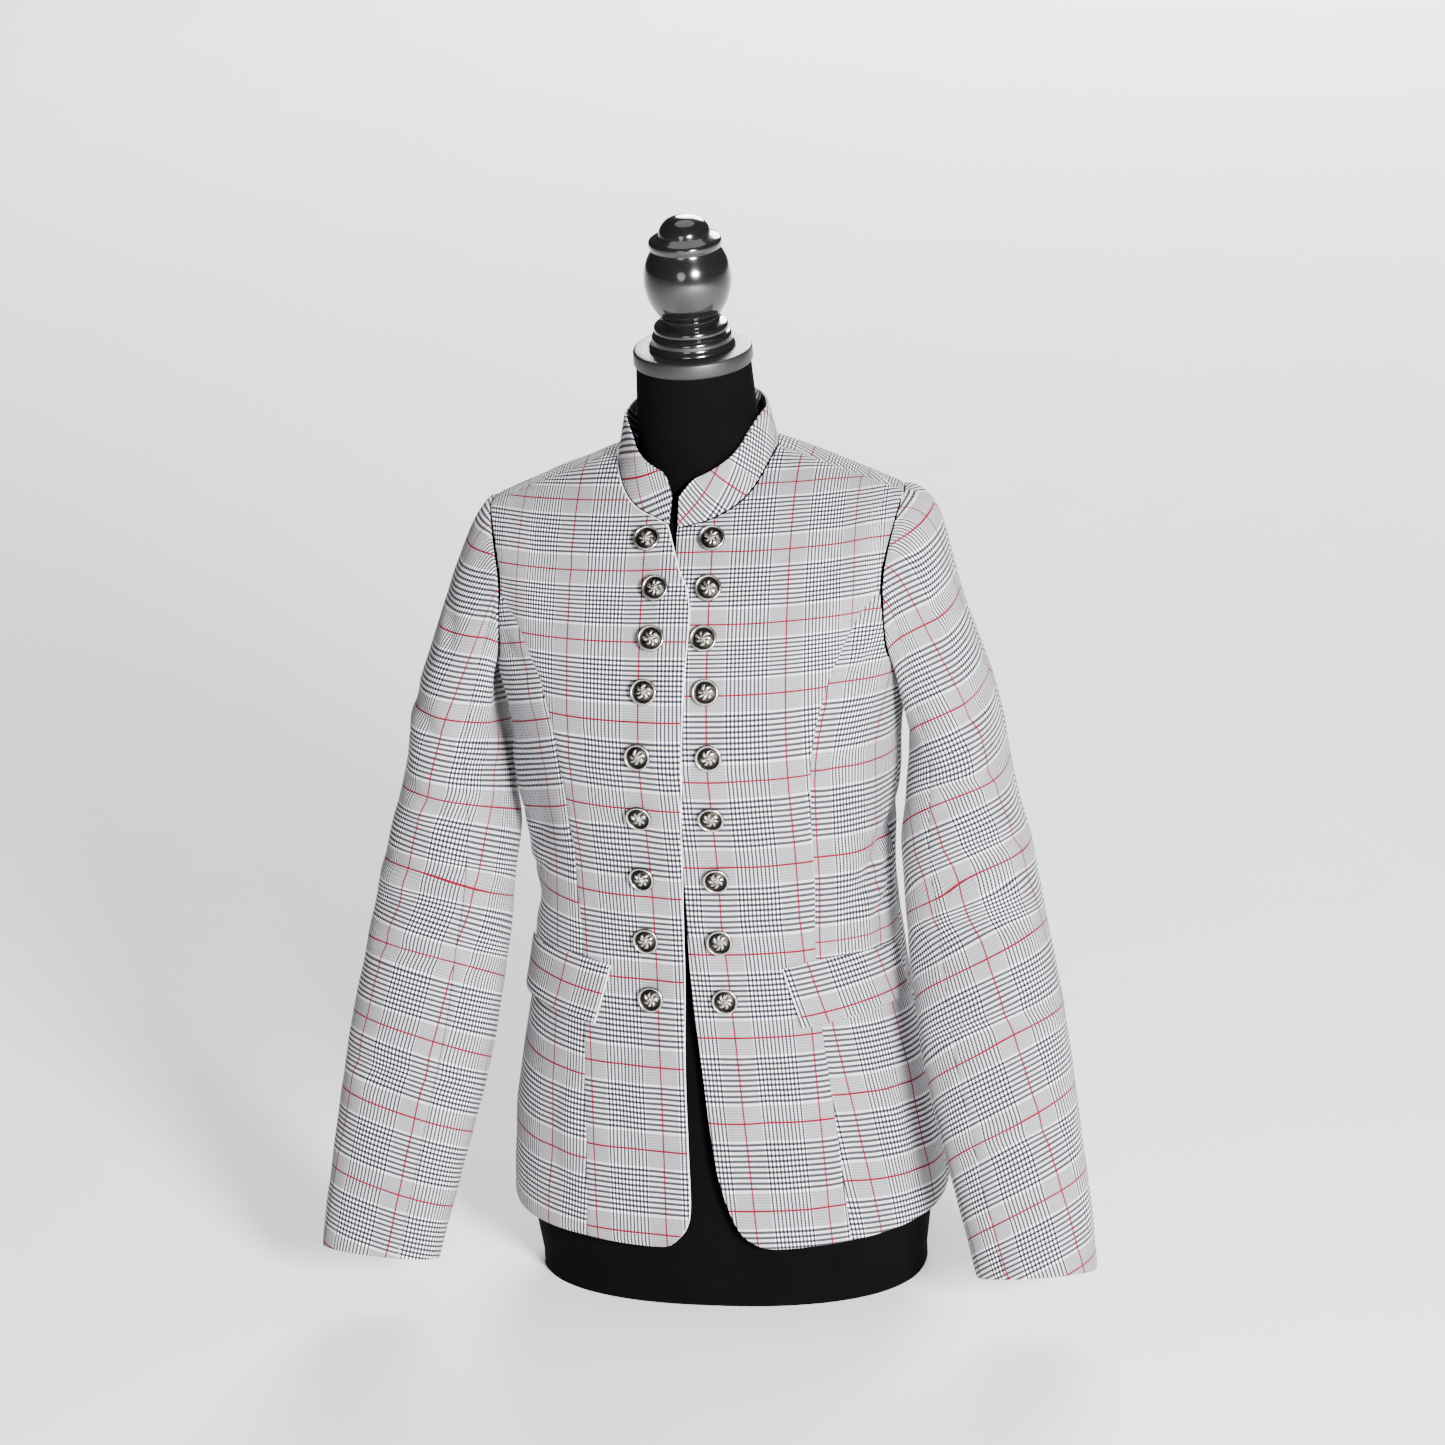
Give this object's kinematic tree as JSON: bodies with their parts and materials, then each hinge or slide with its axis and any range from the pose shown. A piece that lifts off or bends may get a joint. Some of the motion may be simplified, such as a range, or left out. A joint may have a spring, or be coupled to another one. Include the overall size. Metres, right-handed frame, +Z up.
{
  "type": "military-style blazer worn by a limbless dress form with finial",
  "caption": "Checked stand-collar blazer with two columns of domed buttons and pocket flaps, open at the hem, on a black dress form with a turned finial.",
  "frame": {"origin": "middle of the dress form's flat base", "axes": "+Z up, the front faces -Y, +X is the wearer's left"},
  "size_m": [0.6464, 0.2817, 0.8978],
  "materials": {
    "suiting": "woven check, matte",
    "antique_silver": "antiqued, half polished",
    "form_jersey": "matte jersey",
    "black_lacquer": "gloss lacquer",
    "black_satin_disc": "satin paint"
  },
  "bodies": {
    "root": {"front_left": "suiting", "side_front_left": "suiting", "side_back_left": "suiting", "back_left": "suiting", "sleeve_upper_left": "suiting", "sleeve_under_left": "suiting", "flap_left": "suiting", "front_right": "suiting", "side_front_right": "suiting", "side_back_right": "suiting", "back_right": "suiting", "sleeve_upper_right": "suiting", "sleeve_under_right": "suiting", "flap_right": "suiting", "collar": "suiting", "button_left_1": "antique_silver", "button_left_2": "antique_silver", "button_left_3": "antique_silver", "button_left_4": "antique_silver", "button_left_5": "antique_silver", "button_left_6": "antique_silver", "button_left_7": "antique_silver", "button_left_8": "antique_silver", "button_left_9": "antique_silver", "button_right_1": "antique_silver", "button_right_2": "antique_silver", "button_right_3": "antique_silver", "button_right_4": "antique_silver", "button_right_5": "antique_silver", "button_right_6": "antique_silver", "button_right_7": "antique_silver", "button_right_8": "antique_silver", "button_right_9": "antique_silver", "form_torso": "form_jersey", "neck_cap": "black_satin_disc", "finial": "black_lacquer"}
  },
  "joints": []
}
